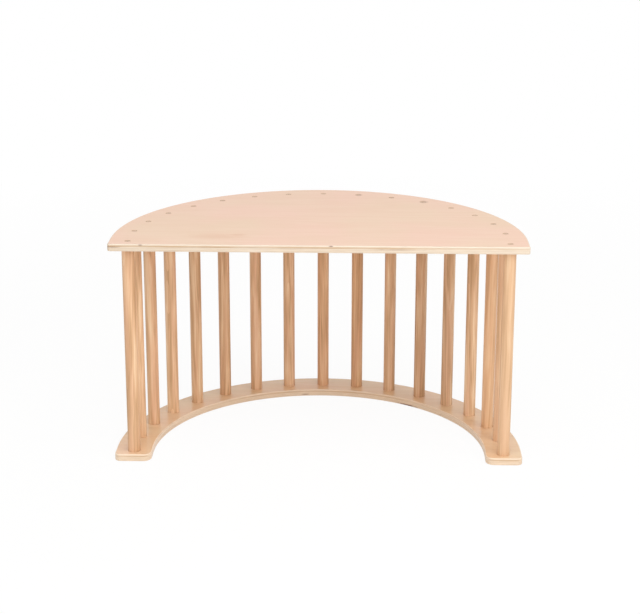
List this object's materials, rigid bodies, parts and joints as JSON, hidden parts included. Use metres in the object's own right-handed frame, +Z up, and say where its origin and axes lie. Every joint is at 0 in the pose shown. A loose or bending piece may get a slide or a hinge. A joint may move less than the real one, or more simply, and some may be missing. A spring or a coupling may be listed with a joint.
{
  "type": "half-round rocker board",
  "caption": "Half-round wooden rocker for children: a half-disc plywood board and an arch-shaped base joined by a ring of round dowels, used as desk, arch or rocker.",
  "frame": {"origin": "on the floor, under the middle of the outline's bounding box", "axes": "+X along the long straight side, -Y out of that open side, +Z up from the arch-shaped base to the board"},
  "size_m": [0.83, 0.46, 0.46],
  "materials": {
    "board_plywood": "clear satin varnish",
    "base_plywood": "clear satin varnish",
    "dowel_wood": "clear satin varnish",
    "screw_steel": "zinc plated"
  },
  "bodies": {
    "root": {"top_board": "board_plywood", "base_arch": "base_plywood", "dowel_01": "dowel_wood", "dowel_02": "dowel_wood", "dowel_03": "dowel_wood", "dowel_04": "dowel_wood", "dowel_05": "dowel_wood", "dowel_06": "dowel_wood", "dowel_07": "dowel_wood", "dowel_08": "dowel_wood", "dowel_09": "dowel_wood", "dowel_10": "dowel_wood", "dowel_11": "dowel_wood", "dowel_12": "dowel_wood", "dowel_13": "dowel_wood", "dowel_14": "dowel_wood", "dowel_15": "dowel_wood", "dowel_16": "dowel_wood", "dowel_17": "dowel_wood", "top_screw_01": "screw_steel", "top_screw_02": "screw_steel", "top_screw_03": "screw_steel", "top_screw_04": "screw_steel", "top_screw_05": "screw_steel", "top_screw_06": "screw_steel", "top_screw_07": "screw_steel", "top_screw_08": "screw_steel", "top_screw_09": "screw_steel", "top_screw_10": "screw_steel", "top_screw_11": "screw_steel", "top_screw_12": "screw_steel", "top_screw_13": "screw_steel", "top_screw_14": "screw_steel", "top_screw_15": "screw_steel", "top_screw_16": "screw_steel", "top_screw_17": "screw_steel", "base_screw_01": "screw_steel", "base_screw_02": "screw_steel", "base_screw_03": "screw_steel", "base_screw_04": "screw_steel", "base_screw_05": "screw_steel", "base_screw_06": "screw_steel", "base_screw_07": "screw_steel", "base_screw_08": "screw_steel", "base_screw_09": "screw_steel", "base_screw_10": "screw_steel", "base_screw_11": "screw_steel", "base_screw_12": "screw_steel", "base_screw_13": "screw_steel", "base_screw_14": "screw_steel", "base_screw_15": "screw_steel", "base_screw_16": "screw_steel", "base_screw_17": "screw_steel"}
  },
  "joints": []
}
